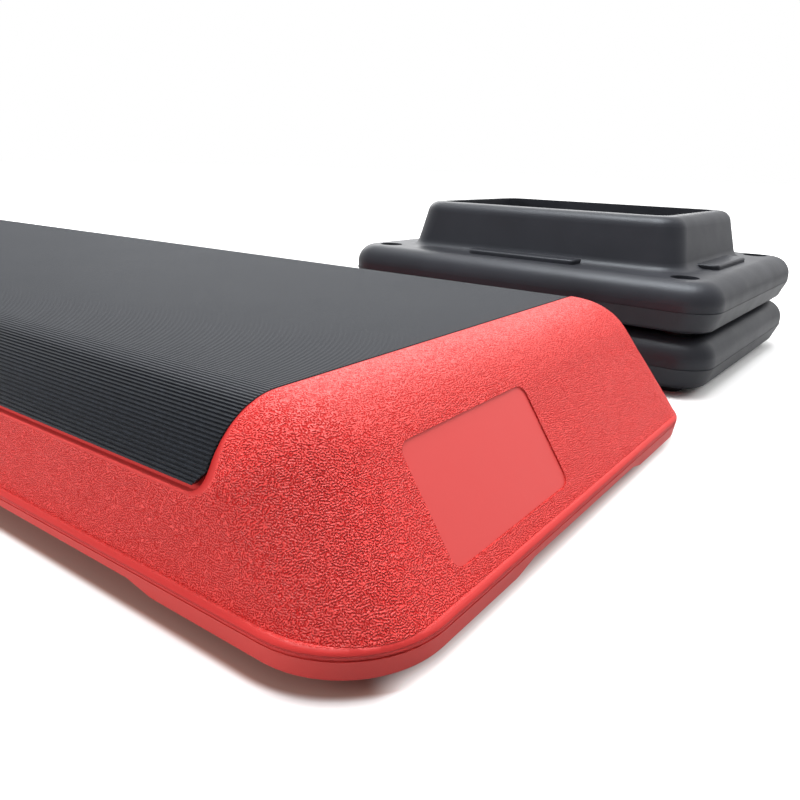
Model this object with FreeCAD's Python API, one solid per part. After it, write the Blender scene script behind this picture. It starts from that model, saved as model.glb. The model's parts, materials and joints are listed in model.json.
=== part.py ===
import FreeCAD, Part
import math
import os

# Driving dimensions, in millimetres and degrees
PLATFORM_LENGTH = 1100.0
PLATFORM_WIDTH = 410.0
PLATFORM_HEIGHT = 100.0
RIM_CORNER = 52.0
RIM_SHOULDER = 3.5
RIM_TOP = 22.0
RIM_TOP_ROUND = 3.0
RIM_FOOT_ROUND = 1.5
RIM_DRAFT = 8.0
SEAM_HEIGHT = 18.0
SEAM_WIDTH = 0.9
SEAM_DEPTH = 0.5
END_LEAN = 33.5
SIDE_LEAN = 6.5
TOP_ROUND = 46.0
CORNER_FOOT = 44.0
CORNER_TOP = 58.0
PLATFORM_WALL = 4.0

# Arched underside of the rim, between the four corner pads
ARCH_RISE = 5.0
PAD_LENGTH = 138.0
PAD_WIDTH = 134.0
PAD_RAMP = 20.0

# Stiffening flutes pressed up into the underside
FLUTE_COUNT = 4
FLUTE_PITCH = 110.0
FLUTE_LENGTH = 190.0
FLUTE_WIDTH = 34.0
FLUTE_DRAFT = 6.0

# Ribbed tread mat and the recess that it is bonded into
MAT_END = 91.0
MAT_LOW = 66.5
MAT_RECESS = 3.6
MAT_BOND = 0.2
MAT_MARGIN = 0.6
MAT_LEDGE = 3.2
MAT_CHAMFER = 8.0
RECESS_CORNER = 12.0
RIB_PITCH = 2.0
RIB_HEIGHT = 0.8
RIB_SINK = 0.3
RIB_SHARES = (0.12, 0.32, 0.68, 0.88)

# Bare recessed panel on one end
PANEL_WIDTH = 115.8
PANEL_HEIGHT = 60.0
PANEL_CORNER = 7.0
PANEL_DEPTH = 0.9
PANEL_OFFSET = -73.6
PANEL_LOW = 29.8

# Stacking risers, each as long as the platform is wide
RISER_LENGTH = PLATFORM_WIDTH
RISER_WIDTH = 320.0
RISER_CORNER = 32.0
RISER_WALL = 3.5
FLANGE_THICKNESS = 45.5
FLANGE_SEAM = 20.0
FLANGE_ROUND = 20.0
FLANGE_DRAFT = 20.0
FLANGE_FOOT_ROUND = 6.0
COLLAR_INSET = 50.0
COLLAR_HEIGHT = 49.0
COLLAR_LEAN = 12.0
COLLAR_CORNER = 28.0
COLLAR_ROUND = 13.0
COLLAR_FOOT_ROUND = 10.0
COLLAR_RIM = 16.0
WELL_CORNER = 14.0
NEST_CLEARANCE = 2.5
KEY_LONG = 122.0
KEY_SHORT = 104.0
KEY_REACH = 20.0
KEY_HEIGHT = 4.5
KEY_CORNER = 7.0
KEY_ROUND = 2.0
SOCKET_INSET_X = 38.0
SOCKET_INSET_Y = 34.0
SOCKET_DEPTH = 3.0
SOCKET_CLEARANCE = 0.5

# Push-in rubber feet
FOOT_RADIUS = 12.0
FOOT_PROUD = 7.5
FOOT_EDGE = 1.5
STEM_RADIUS = 5.0
STEM_CLEARANCE = 0.15
HEAD_RADIUS = 6.6
HEAD_LENGTH = 6.0
HEAD_TIP_SHARE = 0.55

# Places of the risers, beside the platform and under it
RISER_GAP = 68.0
RISER_FROM_END = 210.0
RISER_TURN = -2.0
RISER_END_MARGIN = 5.0

# Extra length of every cutting solid
OVERRUN = 5.0

# Sizes worked out from the driving dimensions
TURN_COS = math.cos(math.radians(RISER_TURN))
TURN_SIN = abs(math.sin(math.radians(RISER_TURN)))
RISER_CORE_X = RISER_LENGTH / 2 - RISER_CORNER
RISER_CORE_Y = RISER_WIDTH / 2 - RISER_CORNER
RISER_REACH = RISER_CORE_Y * TURN_COS + RISER_CORE_X * TURN_SIN + RISER_CORNER
SET_DEPTH = PLATFORM_WIDTH + RISER_GAP + 2 * RISER_REACH
PLATFORM_Y = (PLATFORM_WIDTH - SET_DEPTH) / 2
RISER_X = PLATFORM_LENGTH / 2 - RISER_FROM_END
RISER_Y = SET_DEPTH / 2 - RISER_REACH
ARCH_HEIGHT = FOOT_PROUD + ARCH_RISE
END_SLOPE = math.tan(math.radians(END_LEAN))
SIDE_SLOPE = math.tan(math.radians(SIDE_LEAN))
COLLAR_SLOPE = math.tan(math.radians(COLLAR_LEAN))
RIM_SLOPE = math.tan(math.radians(RIM_DRAFT))
FLANGE_SLOPE = math.tan(math.radians(FLANGE_DRAFT))
PLATFORM_FLOOR = ARCH_HEIGHT + PLATFORM_WALL
PLATFORM_SKIN = MAT_RECESS + PLATFORM_WALL
FLANGE_TOP = FOOT_PROUD + FLANGE_THICKNESS
COLLAR_TOP = FLANGE_TOP + COLLAR_HEIGHT
RISER_SEAM = FOOT_PROUD + FLANGE_SEAM
STACK_PITCH = FLANGE_TOP - SOCKET_DEPTH
SOCKET_RADIUS = FOOT_RADIUS + SOCKET_CLEARANCE
SOCKET_X = RISER_LENGTH / 2 - SOCKET_INSET_X
SOCKET_Y = RISER_WIDTH / 2 - SOCKET_INSET_Y
POCKET_X = PLATFORM_LENGTH / 2 - RISER_END_MARGIN - RISER_WIDTH / 2

UP = FreeCAD.Vector(0, 0, 1)
AHEAD = FreeCAD.Vector(1, 0, 0)
ACROSS = FreeCAD.Vector(0, 1, 0)
ORIGIN = FreeCAD.Vector(0, 0, 0)
CORNERS = {"front_left": (-1, -1), "front_right": (1, -1), "rear_left": (-1, 1), "rear_right": (1, 1)}


def point(x, y, z):
    return FreeCAD.Vector(x, y, z)


def moved(shape, x, y, z):
    copy = shape.copy()
    copy.translate(point(x, y, z))
    return copy


def plate(half_x, half_y, corner, z_low, z_high):
    """Upright slab with a rounded-rectangle outline."""
    slab = Part.makeBox(2 * half_x, 2 * half_y, z_high - z_low, point(-half_x, -half_y, z_low))
    return slab.makeFillet(corner, upright_edges(slab))


def frustum(half_x, half_y, slope_x, slope_y, z_low, z_high):
    """Block whose four sides lean, given by its half sizes at the foot."""
    rise = z_high - z_low
    top_x = half_x - rise * slope_x
    top_y = half_y - rise * slope_y
    block = Part.makeWedge(-half_x, z_low, -half_y, -top_y, -top_x, half_x, z_high, half_y, top_y, top_x)
    block.rotate(ORIGIN, AHEAD, 90)
    return block


def upright_edges(shape):
    """Straight edges that climb from the foot of a block to its top."""
    box = shape.BoundBox
    return [e for e in shape.Edges if e.BoundBox.ZLength > box.ZLength / 2]


def level_edges(shape, z):
    """Edges that lie level at a height."""
    reach = SEAM_DEPTH
    return [e for e in shape.Edges if abs(e.BoundBox.ZMin - z) < reach and abs(e.BoundBox.ZMax - z) < reach]


def softened(block, corner, top, z_top):
    """Round the leaning corners of a block, then the edge round its top."""
    block = block.makeFillet(corner, upright_edges(block))
    return block.makeFillet(top, level_edges(block, z_top))


# Platform


def wall_block(skin, z_low):
    """Leaning walls with corners that widen upwards and a rounded top, drawn in by a skin thickness."""
    drop = RIM_TOP - z_low
    skin_x = skin / math.cos(math.radians(END_LEAN))
    skin_y = skin / math.cos(math.radians(SIDE_LEAN))
    half_x = PLATFORM_LENGTH / 2 - RIM_SHOULDER - skin_x + drop * END_SLOPE
    half_y = PLATFORM_WIDTH / 2 - RIM_SHOULDER - skin_y + drop * SIDE_SLOPE
    top = PLATFORM_HEIGHT - skin
    block = frustum(half_x, half_y, END_SLOPE, SIDE_SLOPE, z_low, top)
    block = block.makeFillet(CORNER_FOOT - skin, CORNER_TOP - skin, upright_edges(block))
    return block.makeFillet(TOP_ROUND - skin, level_edges(block, top))


def rim_slab():
    """Smooth band round the foot: drafted below the mould seam, rolled over above it."""
    half_x = PLATFORM_LENGTH / 2
    half_y = PLATFORM_WIDTH / 2
    draft = (SEAM_HEIGHT - FOOT_PROUD) * RIM_SLOPE
    band = frustum(half_x - draft, half_y - draft, -RIM_SLOPE, -RIM_SLOPE, FOOT_PROUD, SEAM_HEIGHT)
    band = band.makeFillet(RIM_CORNER, upright_edges(band))
    band = band.makeFillet(RIM_FOOT_ROUND, level_edges(band, FOOT_PROUD))
    roll = plate(half_x, half_y, RIM_CORNER, SEAM_HEIGHT, RIM_TOP)
    roll = roll.makeFillet(RIM_TOP_ROUND, level_edges(roll, RIM_TOP))
    return band.fuse(roll).cut(seam_groove(half_x, half_y, RIM_CORNER, SEAM_HEIGHT))


def seam_groove(half_x, half_y, corner, z):
    """Fine groove that the mould leaves round a piece."""
    low = z - SEAM_WIDTH / 2
    high = z + SEAM_WIDTH / 2
    groove = plate(half_x + OVERRUN, half_y + OVERRUN, corner, low, high)
    return groove.cut(plate(half_x - SEAM_DEPTH, half_y - SEAM_DEPTH, corner - SEAM_DEPTH, low, high))


def arch_channel(half_width, half_run):
    """Trapezoid channel across the underside, along X."""
    low = FOOT_PROUD - OVERRUN
    flare = PAD_RAMP * (ARCH_HEIGHT - low) / ARCH_RISE
    outline = [
        point(-half_run, -half_width - flare + PAD_RAMP, low),
        point(-half_run, half_width + flare - PAD_RAMP, low),
        point(-half_run, half_width - PAD_RAMP, ARCH_HEIGHT),
        point(-half_run, -half_width + PAD_RAMP, ARCH_HEIGHT),
    ]
    face = Part.Face(Part.makePolygon(outline + outline[:1]))
    return face.extrude(point(2 * half_run, 0, 0))


def underside_arches():
    run_x = PLATFORM_LENGTH / 2 + OVERRUN
    run_y = PLATFORM_WIDTH / 2 + OVERRUN
    along = arch_channel(PLATFORM_WIDTH / 2 - PAD_WIDTH + PAD_RAMP, run_x)
    across = arch_channel(PLATFORM_LENGTH / 2 - PAD_LENGTH + PAD_RAMP, run_y)
    across.rotate(ORIGIN, UP, 90)
    return along.fuse(across)


def flutes(grow):
    """Drafted flutes from the underside up to the inside of the top skin."""
    top = PLATFORM_HEIGHT - PLATFORM_SKIN - PLATFORM_WALL + grow
    low = FOOT_PROUD - OVERRUN
    slope = math.tan(math.radians(FLUTE_DRAFT))
    blocks = []
    for index in range(FLUTE_COUNT):
        x = (index - (FLUTE_COUNT - 1) / 2) * FLUTE_PITCH
        block = frustum(FLUTE_WIDTH / 2 + grow, FLUTE_LENGTH / 2 + grow, slope, slope, low, top)
        blocks.append(moved(block, x, 0, 0))
    return Part.makeCompound(blocks)


def section_edges(inset, z_low):
    """Cross-section of the walls and top above a level, drawn in by an inset, from side to side."""
    lean = math.radians(SIDE_LEAN)
    top = PLATFORM_HEIGHT - inset
    radius = TOP_ROUND - inset
    foot_y = PLATFORM_WIDTH / 2 - RIM_SHOULDER - inset / math.cos(lean)
    edge_y = foot_y - (top - RIM_TOP) * SIDE_SLOPE
    centre_y = edge_y - radius * math.tan((math.pi / 2 - lean) / 2)
    centre_z = top - radius
    start = max(lean, math.asin(max(z_low - centre_z, 0) / radius))
    sides = []
    for side in (1, -1):
        spots = []
        for angle in (start, (start + math.pi / 2) / 2, math.pi / 2):
            y = centre_y + radius * math.cos(angle)
            spots.append(point(0, side * y, centre_z + radius * math.sin(angle)))
        sides.append(spots)
    right, left = sides
    edges = [
        Part.Arc(right[0], right[1], right[2]).toShape(),
        Part.LineSegment(right[2], left[2]).toShape(),
        Part.Arc(left[2], left[1], left[0]).toShape(),
    ]
    if start > lean:
        return edges
    low_y = foot_y - (z_low - RIM_TOP) * SIDE_SLOPE
    first = Part.LineSegment(point(0, low_y, z_low), right[0]).toShape()
    last = Part.LineSegment(left[0], point(0, -low_y, z_low)).toShape()
    return [first] + edges + [last]


def section_block(inset, z_low, half_run):
    """Everything under the drawn-in cross-section, above a level, as a prism along X."""
    edges = section_edges(inset, z_low)
    closing = Part.LineSegment(edges[-1].Vertexes[-1].Point, edges[0].Vertexes[0].Point).toShape()
    face = Part.Face(Part.Wire(Part.__sortEdges__(edges + [closing])))
    block = face.extrude(point(2 * half_run, 0, 0))
    return moved(block, -half_run, 0, 0)


def low_corner_edges(block, z_low, half_run):
    """Short edges where the ends of a wrapped sheet meet its lower edges."""
    found = []
    for edge in block.Edges:
        box = edge.BoundBox
        at_end = abs(max(abs(box.XMin), abs(box.XMax)) - half_run) < SEAM_DEPTH and box.XLength < SEAM_DEPTH
        at_low = abs(box.ZMax - z_low) < SEAM_DEPTH and box.ZLength < SEAM_DEPTH
        if at_end and at_low:
            found.append(edge)
    return found


def mat_recess():
    half_run = PLATFORM_LENGTH / 2 - MAT_END + MAT_MARGIN
    low = MAT_LOW - MAT_LEDGE
    outside = section_block(-OVERRUN, low, half_run)
    core = section_block(MAT_RECESS, RIM_TOP, half_run + OVERRUN)
    recess = outside.cut(core)
    return recess.makeFillet(RECESS_CORNER, low_corner_edges(recess, low, half_run))


def panel_recess():
    """Shallow rounded recess square to the leaning end wall."""
    block = plate(PANEL_HEIGHT / 2, PANEL_WIDTH / 2, PANEL_CORNER, -PANEL_DEPTH, OVERRUN)
    block.rotate(ORIGIN, ACROSS, 90 - END_LEAN)
    rise = PANEL_HEIGHT / 2 * math.cos(math.radians(END_LEAN))
    z = PANEL_LOW + rise
    x = PLATFORM_LENGTH / 2 - RIM_SHOULDER - (z - RIM_TOP) * END_SLOPE
    return moved(block, x, PANEL_OFFSET, z)


def riser_pockets(grow):
    """Collar-shaped pockets near both ends of the underside."""
    pocket = nest(grow, FOOT_PROUD - OVERRUN)
    pocket.rotate(ORIGIN, UP, 90)
    return [moved(pocket, side * POCKET_X, 0, 0) for side in (-1, 1)]


def platform_foot_place(side_x, side_y):
    return side_x * (POCKET_X + SOCKET_Y), side_y * SOCKET_X


def platform_shell():
    """One hollow blow-moulded body with a double wall."""
    body = wall_block(0, RIM_TOP - RIM_TOP_ROUND).fuse(rim_slab()).removeSplitter()
    body = body.cut(underside_arches())
    body = body.cut(mat_recess())
    body = body.cut(panel_recess())
    hollow = wall_block(PLATFORM_SKIN, PLATFORM_FLOOR)
    for pocket, backing in zip(riser_pockets(0), riser_pockets(PLATFORM_WALL)):
        body = body.cut(pocket)
        hollow = hollow.cut(backing)
    body = body.cut(flutes(0))
    hollow = hollow.cut(flutes(PLATFORM_WALL))
    body = body.cut(hollow)
    for side_x, side_y in CORNERS.values():
        x, y = platform_foot_place(side_x, side_y)
        body = body.cut(stem_hole(x, y, PLATFORM_FLOOR))
    return moved(body, 0, PLATFORM_Y, 0)


def section_spot(edges, distance, inset):
    """Point on the cross-section at a distance along it, sunk by an inset."""
    ahead = list(edges)
    while len(ahead) > 1 and distance > ahead[0].Length:
        distance -= ahead.pop(0).Length
    edge = ahead[0]
    along = edge.getParameterByLength(min(distance, edge.Length))
    spot = edge.valueAt(along)
    tangent = edge.tangentAt(along)
    return spot + point(0, -tangent.z, tangent.y) * inset


def tread_mat():
    """Sheet with fine ribs along its length, wrapped over the top and down both walls."""
    half_run = PLATFORM_LENGTH / 2 - MAT_END
    outer = section_edges(0, MAT_LOW)
    girth = sum(edge.Length for edge in outer)
    count = int(girth / RIB_PITCH)
    pitch = girth / count
    valley = RIB_SINK + RIB_HEIGHT
    spots = [section_spot(outer, 0, valley)]
    for index in range(count):
        for share, sink in zip(RIB_SHARES, (valley, RIB_SINK, RIB_SINK, valley)):
            spots.append(section_spot(outer, (index + share) * pitch, sink))
    spots.append(section_spot(outer, girth, valley))
    inner = section_edges(MAT_RECESS - MAT_BOND, MAT_LOW)
    start = inner[0].Vertexes[0].Point
    finish = inner[-1].Vertexes[-1].Point
    edges = [Part.LineSegment(a, b).toShape() for a, b in zip(spots, spots[1:])]
    edges.append(Part.LineSegment(spots[0], start).toShape())
    edges.append(Part.LineSegment(spots[-1], finish).toShape())
    face = Part.Face(Part.Wire(Part.__sortEdges__(edges + inner)))
    sheet = moved(face.extrude(point(2 * half_run, 0, 0)), -half_run, 0, 0)
    for side_x in (-1, 1):
        for side_y in (-1, 1):
            sheet = sheet.cut(mat_corner_cut(side_x, side_y, half_run))
    return moved(sheet, 0, PLATFORM_Y, 0)


def mat_corner_cut(side_x, side_y, half_run):
    """Wedge that bevels one lower corner of the sheet."""
    reach = MAT_CHAMFER + OVERRUN
    corners = [
        point(side_x * (half_run - MAT_CHAMFER), 0, MAT_LOW),
        point(side_x * (half_run + OVERRUN), 0, MAT_LOW + reach),
        point(side_x * (half_run + OVERRUN), 0, MAT_LOW - OVERRUN),
        point(side_x * (half_run - reach), 0, MAT_LOW - OVERRUN),
    ]
    face = Part.Face(Part.makePolygon(corners + corners[:1]))
    return face.extrude(point(0, side_y * PLATFORM_WIDTH / 2, 0))


# Risers


def collar_block(grow, z_low):
    """Leaning collar with a rounded outer shoulder."""
    drop = FLANGE_TOP - z_low
    half_x = RISER_LENGTH / 2 - COLLAR_INSET + grow + drop * COLLAR_SLOPE
    half_y = RISER_WIDTH / 2 - COLLAR_INSET + grow + drop * COLLAR_SLOPE
    top = COLLAR_TOP + grow
    block = frustum(half_x, half_y, COLLAR_SLOPE, COLLAR_SLOPE, z_low, top)
    return softened(block, COLLAR_CORNER + grow, COLLAR_ROUND + grow, top)


def key_pads(grow, z_low):
    """Low pads at the foot of the collar, in the middle of each side."""
    pads = []
    for half_reach, half_width, turn in (
        (RISER_LENGTH / 2, KEY_SHORT / 2, 0),
        (RISER_WIDTH / 2, KEY_LONG / 2, 90),
    ):
        reach = half_reach - COLLAR_INSET + KEY_REACH + grow
        pad = plate(reach, half_width + grow, KEY_CORNER, z_low, FLANGE_TOP + KEY_HEIGHT + grow)
        pad = pad.makeFillet(KEY_ROUND, level_edges(pad, FLANGE_TOP + KEY_HEIGHT + grow))
        pad.rotate(ORIGIN, UP, turn)
        pads.append(pad)
    return pads


def nest(grow, z_low):
    """Space that takes the collar and pads of the riser below."""
    room = NEST_CLEARANCE + grow
    space = collar_block(room, z_low + STACK_PITCH)
    for pad in key_pads(room, z_low + STACK_PITCH):
        space = space.fuse(pad)
    return moved(space, 0, 0, -STACK_PITCH)


def well(grow):
    """Opening right through the middle of a riser."""
    lean = COLLAR_HEIGHT * COLLAR_SLOPE
    half_x = RISER_LENGTH / 2 - COLLAR_INSET - lean - COLLAR_RIM + grow
    half_y = RISER_WIDTH / 2 - COLLAR_INSET - lean - COLLAR_RIM + grow
    return plate(half_x, half_y, WELL_CORNER + grow, -OVERRUN, COLLAR_TOP + OVERRUN)


def flange(skin):
    """Thick slab that the riser stands on: rounded above the mould seam, drafted below it."""
    low = FOOT_PROUD + skin
    high = FLANGE_TOP - skin
    half_x = RISER_LENGTH / 2 - skin
    half_y = RISER_WIDTH / 2 - skin
    upper = plate(half_x, half_y, RISER_CORNER - skin, RISER_SEAM, high)
    upper = upper.makeFillet(FLANGE_ROUND - skin, level_edges(upper, high))
    draft = (RISER_SEAM - low) * FLANGE_SLOPE
    lower = frustum(half_x - draft, half_y - draft, -FLANGE_SLOPE, -FLANGE_SLOPE, low, RISER_SEAM)
    lower = lower.makeFillet(RISER_CORNER - skin, upright_edges(lower))
    lower = lower.makeFillet(FLANGE_FOOT_ROUND - skin, level_edges(lower, low))
    return upper.fuse(lower)


def collar_foot_edges(body):
    """Edges of the corner between the flange and the collar."""
    half_x = RISER_LENGTH / 2 - COLLAR_INSET + SEAM_WIDTH
    return [e for e in level_edges(body, FLANGE_TOP) if abs(e.BoundBox.Center.x) < half_x
            and max(abs(e.BoundBox.XMin), abs(e.BoundBox.XMax)) < half_x]


def riser_shell():
    """Hollow ring: flange, collar, key pads, foot sockets and the nest underneath."""
    body = flange(0).fuse(collar_block(0, FLANGE_TOP - FLANGE_ROUND)).removeSplitter()
    body = body.makeFillet(COLLAR_FOOT_ROUND, collar_foot_edges(body))
    for pad in key_pads(0, FLANGE_TOP - RISER_WALL):
        body = body.fuse(pad)
    hollow = flange(RISER_WALL).fuse(collar_block(-RISER_WALL, FLANGE_TOP - FLANGE_ROUND))
    body = body.cut(seam_groove(RISER_LENGTH / 2, RISER_WIDTH / 2, RISER_CORNER, RISER_SEAM))
    body = body.cut(nest(0, -OVERRUN)).cut(well(0))
    hollow = hollow.cut(nest(RISER_WALL, -OVERRUN)).cut(well(RISER_WALL))
    for side_x, side_y in CORNERS.values():
        x = side_x * SOCKET_X
        y = side_y * SOCKET_Y
        floor = FLANGE_TOP - SOCKET_DEPTH
        tall = SOCKET_DEPTH + OVERRUN
        socket = Part.makeCylinder(SOCKET_RADIUS, tall, point(x, y, floor))
        backing = Part.makeCylinder(SOCKET_RADIUS + RISER_WALL, tall, point(x, y, floor - RISER_WALL))
        body = body.cut(socket).cut(stem_hole(x, y, FOOT_PROUD + RISER_WALL))
        hollow = hollow.cut(backing)
    return body.cut(hollow)


# Feet


def stem_hole(x, y, floor):
    """Hole for the stem of a foot, from the underside into the hollow."""
    low = FOOT_PROUD - OVERRUN
    return Part.makeCylinder(STEM_RADIUS + STEM_CLEARANCE, floor - low + STEM_CLEARANCE, point(x, y, low))


def foot(floor):
    """Rubber foot: round pad, stem through the bottom skin and a head that snaps in above it."""
    neck = floor + STEM_CLEARANCE
    tip = neck + HEAD_LENGTH
    profile = [
        point(0, 0, 0),
        point(FOOT_RADIUS - FOOT_EDGE, 0, 0),
        point(FOOT_RADIUS, 0, FOOT_EDGE),
        point(FOOT_RADIUS, 0, FOOT_PROUD),
        point(STEM_RADIUS, 0, FOOT_PROUD),
        point(STEM_RADIUS, 0, neck),
        point(HEAD_RADIUS, 0, neck),
        point(HEAD_RADIUS * HEAD_TIP_SHARE, 0, tip),
        point(0, 0, tip),
    ]
    face = Part.Face(Part.makePolygon(profile + profile[:1]))
    return face.revolve(ORIGIN, UP, 360)


# Assembly


def stacked(shape, level):
    """Set a riser's piece down beside the platform, a little turned, at its level of the stack."""
    copy = shape.copy()
    copy.rotate(ORIGIN, UP, RISER_TURN)
    return moved(copy, RISER_X, RISER_Y, level * STACK_PITCH)


def build():
    nodes = {"platform_shell": platform_shell(), "tread_mat": tread_mat()}
    plug = foot(PLATFORM_FLOOR)
    for name, (side_x, side_y) in CORNERS.items():
        x, y = platform_foot_place(side_x, side_y)
        nodes["platform_foot_" + name] = moved(plug, x, y + PLATFORM_Y, 0)
    riser = riser_shell()
    plug = foot(FOOT_PROUD + RISER_WALL)
    for level, label in enumerate(("lower_riser", "upper_riser")):
        nodes[label + "_shell"] = stacked(riser, level)
        for name, (side_x, side_y) in CORNERS.items():
            seated = moved(plug, side_x * SOCKET_X, side_y * SOCKET_Y, 0)
            nodes[label + "_foot_" + name] = stacked(seated, level)
    return nodes


os.makedirs("parts", exist_ok=True)
for node, shape in build().items():
    solids = shape.Solids
    print(node, "solids", len(solids), "valid", shape.isValid(), "volume", round(shape.Volume))
    solids[0].exportStep(os.path.join("parts", node + ".step"))
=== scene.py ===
import json
import math

import bpy
from mathutils import Matrix, Vector

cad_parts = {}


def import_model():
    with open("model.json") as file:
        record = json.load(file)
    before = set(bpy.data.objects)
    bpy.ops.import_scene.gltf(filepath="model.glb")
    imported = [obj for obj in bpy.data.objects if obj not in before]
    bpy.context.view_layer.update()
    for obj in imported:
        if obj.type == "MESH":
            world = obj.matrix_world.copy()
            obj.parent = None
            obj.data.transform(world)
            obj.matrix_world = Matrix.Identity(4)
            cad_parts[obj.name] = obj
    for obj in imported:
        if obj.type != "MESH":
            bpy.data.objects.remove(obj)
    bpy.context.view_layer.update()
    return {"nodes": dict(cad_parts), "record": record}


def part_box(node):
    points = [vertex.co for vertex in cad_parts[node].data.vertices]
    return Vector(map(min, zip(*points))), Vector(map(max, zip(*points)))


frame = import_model()

MM = 0.001

# Places taken from the frame
SHELL_LOW, SHELL_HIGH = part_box("platform_shell")
MAT_LOW, MAT_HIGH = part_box("tread_mat")
SHELL_CENTRE = (SHELL_LOW + SHELL_HIGH) / 2
SHELL_HALF = (SHELL_HIGH - SHELL_LOW) / 2
MAT_HALF_RUN = (MAT_HIGH.x - MAT_LOW.x) / 2

# Smooth foot of the shell, with its parting line and the fine line beside it
BAND_TOP = 22.0 * MM
BAND_FADE = 0.3 * MM
SEAM = 18.0 * MM
SEAM_TWIN = 19.6 * MM
SEAM_TWIN_WIDTH = 0.35 * MM

# Smooth lip round the recess of the mat
RECESS_MARGIN = 0.6 * MM
RECESS_LEDGE = 3.2 * MM
RECESS_CORNER = 12.0 * MM
SMALLEST_REACH = 0.1 * MM
LIP_BELOW = 1.0 * MM
LIP_BESIDE = 3.6 * MM
LIP_DROP = 1.8 * MM
LIP_CURVE = 2.0
LIP_FADE_SHARE = 0.7
LIP_FULL = 70.0 * MM
LIP_NONE = 100.0 * MM

# Smooth panel on the near end, whose wall leans by this angle in degrees
END_LEAN = 33.5
PANEL_OFFSET = -73.6 * MM
PANEL_WIDTH = 115.8 * MM
PANEL_LOW = 29.8 * MM
PANEL_HEIGHT = 60.0 * MM
PANEL_CORNER = 7.0 * MM

# Red plastic
RED = (0.96, 0.075, 0.067)
# Painted shade in the furrows of the grain
RED_FURROW_SHADE = (0.58, 0.022, 0.021)
RED_BARE = (0.66, 0.066, 0.062)
# Painted shade on the foot band below the seam and on the roll above it
RED_BAND_SHADE = (0.61, 0.053, 0.047)
RED_ROLL_SHADE = (0.56, 0.036, 0.034)
RED_SHADE = (0.36, 0.012, 0.012)
RED_PATCHES = (0.0, 0.2)
RED_ROUGH = (0.40, 0.50)
RED_SHINE = (0.55, 0.05)
FOOT_DULL = 0.6
GRAIN_SCALE = 500.0
GRAIN_FREQUENCY = 2.0
GRAIN_SWING = (-1.0, 1.0)
GRAIN_FURROW = 0.0
GRAIN_RIDGE = 0.9
GRAIN_DEPTH = 0.6 * MM
RED_FINE_DEPTH = 0.03 * MM

# Mat and foot rubber
MAT_GREY = (0.009, 0.010, 0.013)
MAT_DUST = (0.017, 0.020, 0.027)
# Lighter grey of the mat's top: partly wear and dust, partly painted sheen
MAT_WORN_AND_SHEEN = (0.066, 0.069, 0.077)
# Painted shade at the mat's cut ends
EDGE_SHADE_BLACK = (0.003, 0.003, 0.003)
EDGE_SHADE_WIDTH = 0.9 * MM
# Depths below the mat's top where the worn grey and painted sheen begin and are full
WORN_SHEEN_FROM = 4.5 * MM
WORN_SHEEN_FULL = 1.0 * MM
WORN_DULL = 0.7
WORN_ROUGH = 0.14
SPECK_FROM = 0.35
SPECK_FULL = 0.75
MAT_ROUGH = (0.40, 0.48)
MAT_SHINE = (0.36, 0.0)
MAT_SHEEN = 0.03
MAT_SHEEN_ROUGH = 0.4
FOOT_BLACK = (0.008, 0.008, 0.009)
FOOT_ROUGH = (0.65, 0.85)

# Black plastic of the risers
RISER_BLACK = (0.018, 0.0185, 0.023)
RISER_WORN = (0.029, 0.030, 0.037)
FLOW_FROM = 0.35
FLOW_FULL = 0.8
RISER_ROUGH = (0.36, 0.50)
RISER_SHINE = 0.48

# Shared by the black materials
COOL_SHINE = (0.86, 0.93, 1.0)
BLACK_FINE_DEPTH = 0.05 * MM

# Scale, detail and roughness of each noise
NOISES = {
    "red patches": (9.0, 4.0, 0.55),
    "red roughness": (60.0, 2.0, 0.55),
    "red fine": (900.0, 2.0, 0.55),
    "mat specks": (420.0, 3.0, 0.7),
    "mat roughness": (14.0, 4.0, 0.55),
    "mat fine": (1500.0, 3.0, 0.55),
    "riser flow": (7.0, 4.0, 0.6),
    "riser roughness": (35.0, 4.0, 0.55),
    "riser fine": (700.0, 3.0, 0.55),
    "foot patches": (80.0, 4.0, 0.55),
    "foot roughness": (200.0, 3.0, 0.55),
    "foot fine": (1200.0, 3.0, 0.55),
}

# Floor, as it lights the object, as it looks, and as it looks against the platform, with painted shadow
# close to it and painted light past its ends
FLOOR_SIZE = 24.0
FLOOR_WHITE = (0.50, 0.50, 0.50)
FLOOR_SEEN = (1.0, 1.0, 1.0)
# Painted shadow on the floor close to the platform's outline
FLOOR_PAINTED_SHADOW = (0.50, 0.32, 0.27)
FLOOR_CORNER = 60.0 * MM
PAINTED_SHADOW_FULL = 4.5 * MM
# Painted light on the floor past the platform's ends, which clears the shadow there
END_PAINTED_LIGHT_FROM = -14.0 * MM
END_PAINTED_LIGHT_FULL = 8.0 * MM
END_TURN_FROM = 0.75
END_TURN_FULL = 1.0
WHITE_FROM = 0.7
WHITE_FULL = 1.5

# Surroundings, where the backdrop's side is a direction and the spans are shares of facing it
BACKDROP_SIDE = (-0.55, 0.78, 0.30)
BACKDROP_WHITE = (1.0, 1.0, 1.0)
BACKDROP_LEVEL = 1.0
AMBIENT = (0.12, 0.60)
FRONT_SPAN = (-0.9, -0.1)
FRONT_DIM = (0.20, 1.0)
MIRROR_SPAN = (0.0, 0.75)
MIRROR_DIM = (0.32, 1.0)

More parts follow.
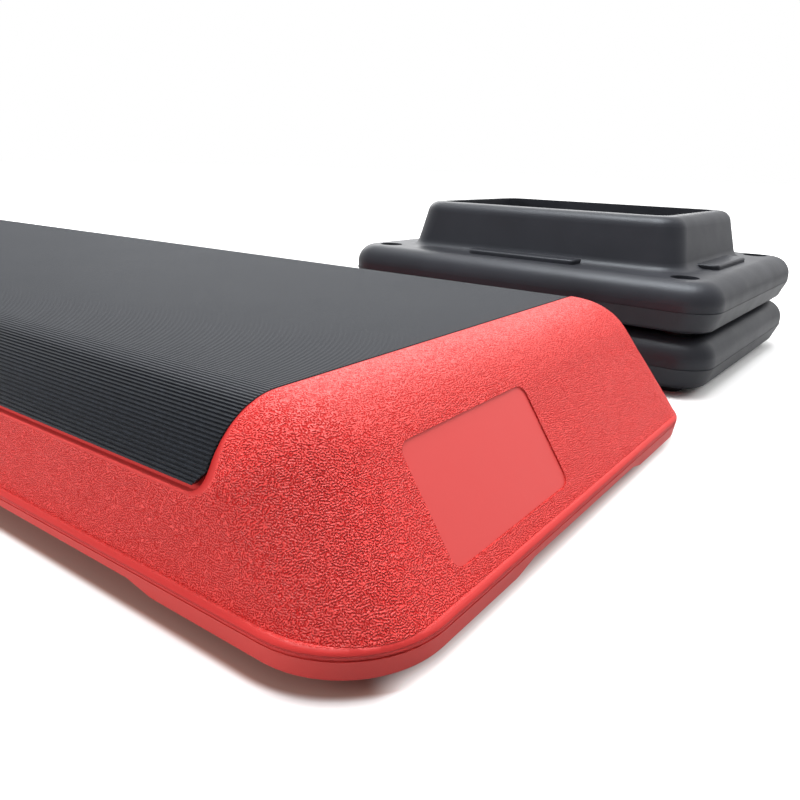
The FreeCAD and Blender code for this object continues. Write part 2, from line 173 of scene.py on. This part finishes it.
# Soft lamps, in metres and watts
LAMPS = {
    "overhead": {
        "place": (0.25, 0.0, 1.9),
        "target": (0.25, -0.1, 0.0),
        "size": (1.5, 0.9),
        "power": 46.0,
        "mirrored": True,
    },
    "behind": {
        "place": (-0.9, 1.6, 1.0),
        "target": (0.2, 0.0, 0.1),
        "size": (2.4, 1.0),
        "power": 18.0,
        "mirrored": True,
    },
    "left": {
        "place": (-0.9, -1.5, 0.4),
        "target": (0.3, -0.4, 0.05),
        "size": (1.2, 0.6),
        "power": 27.0,
        "mirrored": False,
    },
    "right": {
        "place": (1.5, 1.0, 1.1),
        "target": (0.5, -0.2, 0.05),
        "size": (1.0, 1.0),
        "power": 15.0,
        "mirrored": False,
    },
}

# Camera, solved from the platform's straight edges in the photograph
IMAGE_SIZE = 800.0
FOCAL_PIXELS = 723.65
SENSOR = 36.0
CLIP_START = 10.0 * MM
CAMERA_FROM_END = Vector((125.3, -364.6, 194.1)) * MM
CAMERA_YAW = 35.53
CAMERA_PITCH = 18.26
CAMERA_ROLL = -1.68

# Sockets of the mix node that carry colours
MIX_COLOURS = (6, 7)
MIX_RESULT = 2


# Node helpers


class Graph:
    """Short calls for building the nodes of one material or world."""

    def __init__(self, owner):
        self.owner = owner
        owner.use_nodes = True
        self.tree = owner.node_tree

    def add(self, kind, **settings):
        node = self.tree.nodes.new(kind)
        for key, value in settings.items():
            setattr(node, key, value)
        return node

    def feed(self, socket, value):
        """Link an output to a socket, or set the socket to a plain value."""
        if isinstance(value, bpy.types.NodeSocket):
            self.tree.links.new(value, socket)
        elif socket.type == "RGBA":
            socket.default_value = (*value, 1.0)
        else:
            socket.default_value = value

    def math(self, operation, *values, clamp=False):
        node = self.add("ShaderNodeMath", operation=operation, use_clamp=clamp)
        for socket, value in zip(node.inputs, values):
            self.feed(socket, value)
        return node.outputs[0]

    def inverse(self, value):
        """What is left of 1."""
        return self.math("SUBTRACT", 1.0, value)

    def gap(self, value, place):
        """Distance of a coordinate from a place, on either side."""
        return self.math("ABSOLUTE", self.math("SUBTRACT", value, place))

    def past(self, value, limit):
        """How far a value lies past a limit, or 0."""
        return self.math("MAXIMUM", self.math("SUBTRACT", value, limit), 0.0)

    def length(self, first, second):
        """Distance spanned by two steps at right angles."""
        first_square = self.math("MULTIPLY", first, first)
        second_square = self.math("MULTIPLY", second, second)
        return self.math("SQRT", self.math("ADD", first_square, second_square))

    def remap(self, value, source=(0.0, 1.0), target=(0.0, 1.0), kind="LINEAR"):
        """Carry a value from one span to another."""
        node = self.add("ShaderNodeMapRange", interpolation_type=kind)
        self.feed(node.inputs["Value"], value)
        for name, limit in zip(("From Min", "From Max", "To Min", "To Max"), (*source, *target)):
            self.feed(node.inputs[name], limit)
        return node.outputs["Result"]

    def ramp(self, value, low, high):
        """Smooth step from 0 at low to 1 at high."""
        return self.remap(value, (low, high), kind="SMOOTHSTEP")

    def spread(self, value, limits):
        """Stretch a 0 to 1 value between two limits."""
        return self.remap(value, target=limits)

    def mix(self, factor, first, second):
        """Mix two colours."""
        node = self.add("ShaderNodeMix", data_type="RGBA")
        self.feed(node.inputs["Factor"], factor)
        for index, value in zip(MIX_COLOURS, (first, second)):
            self.feed(node.inputs[index], value)
        return node.outputs[MIX_RESULT]

    def blend(self, factor, first, second):
        """Mix two plain values."""
        node = self.add("ShaderNodeMix", data_type="FLOAT")
        for name, value in (("Factor", factor), ("A", first), ("B", second)):
            self.feed(node.inputs[name], value)
        return node.outputs["Result"]

    def place(self):
        return self.add("ShaderNodeTexCoord").outputs["Object"]

    def split(self, vector):
        node = self.add("ShaderNodeSeparateXYZ")
        self.feed(node.inputs["Vector"], vector)
        return node.outputs

    def noise(self, name):
        """Noise in the object's own coordinates, by its name in the table."""
        node = self.add("ShaderNodeTexNoise")
        self.feed(node.inputs["Vector"], self.place())
        for socket, value in zip(("Scale", "Detail", "Roughness"), NOISES[name]):
            self.feed(node.inputs[socket], value)
        return node.outputs["Fac"]

    def bump(self, height, depth=1.0, below=None):
        """Relief of a height in metres, or of a 0 to 1 height times a depth, on top of another relief."""
        node = self.add("ShaderNodeBump")
        self.feed(node.inputs["Strength"], 1.0)
        self.feed(node.inputs["Distance"], depth)
        self.feed(node.inputs["Height"], height)
        if below is not None:
            self.feed(node.inputs["Normal"], below)
        return node.outputs["Normal"]

    def shader(self):
        return self.tree.nodes["Principled BSDF"]

    def finish(self, **sockets):
        """Feed the material's shader and hand the material back."""
        for name, value in sockets.items():
            self.feed(self.shader().inputs[name.replace("_", " ")], value)
        return self.owner


# Materials


def lip_round_mat(graph, x, z):
    """Masks of the smooth lip round the mat and of its shade beside the mat, and the lip's rounded drop."""
    recess_low = MAT_LOW.z - RECESS_LEDGE
    recess_half = MAT_HALF_RUN + RECESS_MARGIN
    beside = graph.past(graph.gap(x, SHELL_CENTRE.x), recess_half - RECESS_CORNER)
    below = graph.past(recess_low + RECESS_CORNER, z)
    reach = graph.length(beside, below)
    share = graph.math("DIVIDE", beside, graph.math("MAXIMUM", reach, SMALLEST_REACH))

    fullness = graph.inverse(graph.ramp(z, LIP_FULL, LIP_NONE))
    full_width = graph.math("MULTIPLY", fullness, LIP_BESIDE)
    end_width = graph.math("MULTIPLY", graph.math("MULTIPLY", share, share), full_width)
    width = graph.math("ADD", end_width, LIP_BELOW)
    away = graph.math("DIVIDE", graph.math("SUBTRACT", reach, RECESS_CORNER), width, clamp=True)
    near = graph.inverse(away)

    lip = graph.inverse(graph.ramp(away, LIP_FADE_SHARE, 1.0))
    shade = graph.math("MULTIPLY", graph.math("MULTIPLY", lip, share), near)
    roll = graph.math("POWER", near, LIP_CURVE)
    drop = graph.math("MULTIPLY", graph.math("MULTIPLY", roll, end_width), -LIP_DROP / LIP_BESIDE)
    return lip, shade, drop


def bare_panel(graph, x, y, z):
    """Mask of the smooth panel on the near end."""
    lean = math.cos(math.radians(END_LEAN))
    middle_y = SHELL_CENTRE.y + PANEL_OFFSET
    middle_z = PANEL_LOW + PANEL_HEIGHT / 2 * lean
    up_wall = graph.math("DIVIDE", graph.gap(z, middle_z), lean)
    past_y = graph.past(graph.gap(y, middle_y), PANEL_WIDTH / 2 - PANEL_CORNER)
    past_z = graph.past(up_wall, PANEL_HEIGHT / 2 - PANEL_CORNER)
    inside = graph.math("LESS_THAN", graph.length(past_y, past_z), PANEL_CORNER)
    near_end = graph.math("GREATER_THAN", x, MAT_HIGH.x)
    return graph.math("MULTIPLY", inside, near_end)


def grain_ridges(graph):
    """Winding ridges of the moulded grain, 0 in the furrows and 1 on top."""
    grain = graph.add("ShaderNodeTexGabor", gabor_type="3D")
    graph.feed(grain.inputs["Vector"], graph.place())
    graph.feed(grain.inputs["Scale"], GRAIN_SCALE)
    graph.feed(grain.inputs["Frequency"], GRAIN_FREQUENCY)
    graph.feed(grain.inputs["Anisotropy"], 0.0)
    wave = graph.math("ABSOLUTE", graph.spread(grain.outputs["Phase"], GRAIN_SWING))
    return graph.ramp(wave, GRAIN_FURROW, GRAIN_RIDGE)


def red_shell():
    """Grained blow-moulded plastic, smooth on its foot, its panel and the lip round the mat, with painted
    shade in the grain's furrows, on its foot and beside the mat.
    """
    graph = Graph(bpy.data.materials.new("red_shell"))
    x, y, z = graph.split(graph.place())
    ridges = grain_ridges(graph)
    lip, shade, drop = lip_round_mat(graph, x, z)
    panel = bare_panel(graph, x, y, z)
    above_band = graph.ramp(z, BAND_TOP - BAND_FADE, BAND_TOP + BAND_FADE)
    below_seam = graph.inverse(graph.ramp(z, SEAM - BAND_FADE, SEAM + BAND_FADE))
    grained = graph.math("MULTIPLY", above_band, graph.inverse(graph.math("MAXIMUM", lip, panel)))
    # Painted shade in the grain's furrows
    furrow_shade = graph.math("MULTIPLY", graph.inverse(ridges), grained)

    skin = graph.mix(graph.spread(graph.noise("red patches"), RED_PATCHES), RED, RED_BARE)
    # Painted shade on the foot band and on the roll above the seam
    foot_shade_colour = graph.mix(below_seam, RED_ROLL_SHADE, RED_BAND_SHADE)
    lip_colour = graph.mix(shade, RED_BARE, RED_SHADE)
    smooth = graph.mix(above_band, foot_shade_colour, graph.mix(lip, RED_BARE, lip_colour))
    colour = graph.mix(furrow_shade, graph.mix(grained, smooth, skin), RED_FURROW_SHADE)
    rough = graph.spread(graph.noise("red roughness"), RED_ROUGH)
    dull_foot = graph.math("MULTIPLY", graph.inverse(above_band), FOOT_DULL)
    dull = graph.math("MAXIMUM", graph.math("MAXIMUM", furrow_shade, dull_foot), lip)
    shine = graph.spread(dull, RED_SHINE)

    off_twin = graph.ramp(graph.gap(z, SEAM_TWIN), 0.0, SEAM_TWIN_WIDTH)
    twin = graph.math("MULTIPLY", graph.math("SUBTRACT", off_twin, 1.0), SEAM_TWIN_WIDTH)
    marked = graph.bump(graph.math("ADD", drop, twin))
    relief = graph.bump(graph.math("MULTIPLY", ridges, grained), GRAIN_DEPTH, marked)
    normal = graph.bump(graph.noise("red fine"), RED_FINE_DEPTH, relief)
    return graph.finish(Base_Color=colour, Roughness=rough, Specular_IOR_Level=shine, Normal=normal)


def mat_rubber():
    """Ribbed black rubber with a little dust, grey on its top from scuffing and painted sheen, and darkest
    at its cut ends from painted shade.
    """
    graph = Graph(bpy.data.materials.new("mat_rubber"))
    places = graph.split(graph.place())
    from_middle = graph.gap(places["X"], SHELL_CENTRE.x)
    # Painted shade at the mat's cut ends
    edge_shade = graph.ramp(from_middle, MAT_HALF_RUN - 2 * EDGE_SHADE_WIDTH, MAT_HALF_RUN - EDGE_SHADE_WIDTH)
    # Lighter top, partly wear and partly painted sheen
    worn_and_sheen = graph.ramp(places["Z"], MAT_HIGH.z - WORN_SHEEN_FROM, MAT_HIGH.z - WORN_SHEEN_FULL)
    speck = graph.ramp(graph.noise("mat specks"), SPECK_FROM, SPECK_FULL)
    scuffed_and_sheen = graph.mix(worn_and_sheen, graph.mix(speck, MAT_GREY, MAT_DUST), MAT_WORN_AND_SHEEN)
    colour = graph.mix(edge_shade, scuffed_and_sheen, EDGE_SHADE_BLACK)
    dull = graph.math("MAXIMUM", edge_shade, graph.math("MULTIPLY", worn_and_sheen, WORN_DULL))
    uneven = graph.spread(graph.noise("mat roughness"), MAT_ROUGH)
    return graph.finish(
        Base_Color=colour,
        Roughness=graph.math("ADD", uneven, graph.math("MULTIPLY", worn_and_sheen, WORN_ROUGH)),
        Specular_IOR_Level=graph.spread(dull, MAT_SHINE),
        Specular_Tint=COOL_SHINE,
        Sheen_Weight=MAT_SHEEN,
        Sheen_Roughness=MAT_SHEEN_ROUGH,
        Normal=graph.bump(graph.noise("mat fine"), BLACK_FINE_DEPTH),
    )


def riser_black():
    """Satin black moulded plastic with faint flow marks."""
    graph = Graph(bpy.data.materials.new("riser_black"))
    flow = graph.ramp(graph.noise("riser flow"), FLOW_FROM, FLOW_FULL)
    return graph.finish(
        Base_Color=graph.mix(flow, RISER_BLACK, RISER_WORN),
        Roughness=graph.spread(graph.noise("riser roughness"), RISER_ROUGH),
        Specular_IOR_Level=RISER_SHINE,
        Specular_Tint=COOL_SHINE,
        Normal=graph.bump(graph.noise("riser fine"), BLACK_FINE_DEPTH),
    )


def foot_rubber():
    """Dull black rubber."""
    graph = Graph(bpy.data.materials.new("foot_rubber"))
    return graph.finish(
        Base_Color=graph.mix(graph.noise("foot patches"), FOOT_BLACK, MAT_GREY),
        Roughness=graph.spread(graph.noise("foot roughness"), FOOT_ROUGH),
        Normal=graph.bump(graph.noise("foot fine"), BLACK_FINE_DEPTH),
    )


def dress():
    """Give every node the material of its slot in the record."""
    made = {
        "red_shell": red_shell(),
        "mat_rubber": mat_rubber(),
        "riser_black": riser_black(),
        "foot_rubber": foot_rubber(),
    }
    for subpart in frame["record"]["subparts"]:
        piece = frame["nodes"][subpart["node"]]
        piece.data.materials.clear()
        piece.data.materials.append(made[subpart["material_slot"]])


# Floor, light and camera


def platform_clearance(graph):
    """Distance on the floor from the platform's outline, and how squarely that distance leaves an end."""
    places = graph.split(graph.place())
    past_x = graph.past(graph.gap(places["X"], SHELL_CENTRE.x), SHELL_HALF.x - FLOOR_CORNER)
    past_y = graph.past(graph.gap(places["Y"], SHELL_CENTRE.y), SHELL_HALF.y - FLOOR_CORNER)
    span = graph.length(past_x, past_y)
    clear = graph.math("SUBTRACT", span, FLOOR_CORNER)
    endwards = graph.ramp(graph.math("DIVIDE", past_x, span), END_TURN_FROM, END_TURN_FULL)
    return clear, endwards


def floor_material():
    """Pale floor that looks white, but for a narrow shadow, deepened and warmed along the platform's sides
    by painted shadow, and with painted light past its ends.
    """
    graph = Graph(bpy.data.materials.new("floor_white"))
    looks = graph.add("ShaderNodeLightPath").outputs["Is Camera Ray"]
    reach = graph.add("ShaderNodeVectorMath", operation="LENGTH")
    graph.feed(reach.inputs[0], graph.place())
    far = graph.ramp(reach.outputs["Value"], WHITE_FROM, WHITE_FULL)
    clear, endwards = platform_clearance(graph)
    # Painted light past the platform's ends, which clears the shadow there
    painted_light_past_end = graph.math("MULTIPLY", graph.ramp(clear, END_PAINTED_LIGHT_FROM, END_PAINTED_LIGHT_FULL), endwards)
    away = graph.math("MAXIMUM", far, painted_light_past_end)
    # Painted shadow close to the platform's outline
    free_of_painted_shadow = graph.math("MAXIMUM", graph.ramp(clear, 0.0, PAINTED_SHADOW_FULL), away)
    seen = graph.mix(free_of_painted_shadow, FLOOR_PAINTED_SHADOW, FLOOR_SEEN)

    matt = graph.add("ShaderNodeBsdfDiffuse")
    graph.feed(matt.inputs["Color"], graph.mix(looks, FLOOR_WHITE, seen))
    lift = graph.add("ShaderNodeEmission")
    graph.feed(lift.inputs["Strength"], graph.math("MULTIPLY", looks, away))
    both = graph.add("ShaderNodeAddShader")
    graph.feed(both.inputs[0], matt.outputs[0])
    graph.feed(both.inputs[1], lift.outputs[0])
    graph.tree.nodes.remove(graph.shader())
    graph.feed(graph.tree.nodes["Material Output"].inputs["Surface"], both.outputs[0])
    return graph.owner


def floor():
    bpy.ops.mesh.primitive_plane_add(size=FLOOR_SIZE)
    ground = bpy.context.object
    ground.name = "floor"
    ground.data.materials.append(floor_material())


def world():
    """Surroundings that look white, with most light from above and dimmer light and reflections in front."""
    graph = Graph(bpy.data.worlds.new("studio"))
    rays = graph.add("ShaderNodeLightPath").outputs
    direction = graph.add("ShaderNodeTexCoord").outputs["Generated"]
    facing = graph.add("ShaderNodeVectorMath", operation="DOT_PRODUCT")
    graph.feed(facing.inputs[0], direction)
    graph.feed(facing.inputs[1], BACKDROP_SIDE)
    ambient = graph.spread(graph.split(direction)["Z"], AMBIENT)
    dimmed = graph.remap(facing.outputs["Value"], FRONT_SPAN, FRONT_DIM)
    mirrored = graph.remap(facing.outputs["Value"], MIRROR_SPAN, MIRROR_DIM)
    soft = graph.math("MULTIPLY", ambient, dimmed)
    unseen = graph.blend(rays["Is Glossy Ray"], soft, mirrored)
    level = graph.blend(rays["Is Camera Ray"], unseen, BACKDROP_LEVEL)
    back = graph.tree.nodes["Background"]
    graph.feed(back.inputs["Color"], BACKDROP_WHITE)
    graph.feed(back.inputs["Strength"], level)
    bpy.context.scene.world = graph.owner


def lamp(name, place, target, size, power, mirrored):
    """Soft rectangular lamp that is not seen itself, and only mirrored where that is asked for."""
    data = bpy.data.lights.new(name, "AREA")
    data.shape = "RECTANGLE"
    data.size, data.size_y = size
    data.energy = power
    piece = bpy.data.objects.new(name, data)
    bpy.context.scene.collection.objects.link(piece)
    piece.visible_camera = False
    piece.visible_glossy = mirrored
    piece.location = place
    piece.rotation_euler = (Vector(target) - Vector(place)).to_track_quat("-Z", "Y").to_euler()


def lights():
    for name, settings in LAMPS.items():
        lamp(name, **settings)


def camera():
    """Camera at the photograph's place, heading, tilt and roll."""
    yaw, pitch, roll = (math.radians(angle) for angle in (CAMERA_YAW, CAMERA_PITCH, CAMERA_ROLL))
    ahead = Vector((-math.sin(yaw) * math.cos(pitch), math.cos(yaw) * math.cos(pitch), -math.sin(pitch)))
    level = Vector((math.cos(yaw), math.sin(yaw), 0.0))
    down = ahead.cross(level)
    right = level * math.cos(roll) + down * math.sin(roll)
    below = down * math.cos(roll) - level * math.sin(roll)
    data = bpy.data.cameras.new("camera")
    data.sensor_fit = "HORIZONTAL"
    data.sensor_width = SENSOR
    data.lens = FOCAL_PIXELS / IMAGE_SIZE * SENSOR
    data.clip_start = CLIP_START
    piece = bpy.data.objects.new("camera", data)
    bpy.context.scene.collection.objects.link(piece)
    end_centre = Vector((SHELL_HIGH.x, SHELL_CENTRE.y, 0.0))
    turn = Matrix((right, -below, -ahead)).transposed()
    piece.matrix_world = Matrix.Translation(end_centre + CAMERA_FROM_END) @ turn.to_4x4()
    bpy.context.scene.camera = piece


dress()
floor()
world()
lights()
camera()
bpy.context.scene.view_settings.view_transform = "Standard"
